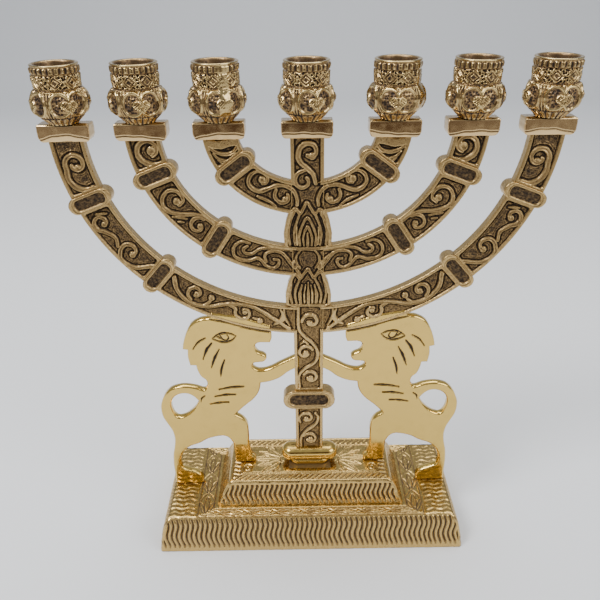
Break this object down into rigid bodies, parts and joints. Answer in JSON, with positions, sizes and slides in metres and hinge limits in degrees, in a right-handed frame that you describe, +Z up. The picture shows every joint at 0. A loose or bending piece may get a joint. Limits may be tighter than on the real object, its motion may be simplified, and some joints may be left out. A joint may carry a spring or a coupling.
{
  "type": "menorah",
  "caption": "Cast brass table menorah: nested curved arms with candle cups, held by two lions on a two-tier rectangular base.",
  "frame": {"origin": "on the resting plane, under the middle of the base", "axes": "+X along the row of cups, +Y to the back, +Z up along the stem"},
  "size_m": [0.2213, 0.0632, 0.2417],
  "materials": {
    "cast_brass": "cast and polished, with dark stippled recesses and plain polished lions",
    "base_brass": "cast, with chased wavy grooves, leaf bands and rope borders darkened in the recesses",
    "cup_brass": "cast relief, darkened in the recesses, rims polished",
    "screw_brass": "tarnished",
    "screw_steel": "dull zinc plate"
  },
  "bodies": {
    "root": {"candelabrum": "cast_brass", "base": "base_brass", "candle_cup_left_outer": "cup_brass", "candle_cup_left_middle": "cup_brass", "candle_cup_left_inner": "cup_brass", "candle_cup_centre": "cup_brass", "candle_cup_right_inner": "cup_brass", "candle_cup_right_middle": "cup_brass", "candle_cup_right_outer": "cup_brass", "cup_screw_left_outer": "screw_brass", "cup_screw_left_middle": "screw_brass", "cup_screw_left_inner": "screw_brass", "cup_screw_centre": "screw_brass", "cup_screw_right_inner": "screw_brass", "cup_screw_right_middle": "screw_brass", "cup_screw_right_outer": "screw_brass", "base_washer": "screw_steel", "base_screw": "screw_steel"}
  },
  "joints": []
}
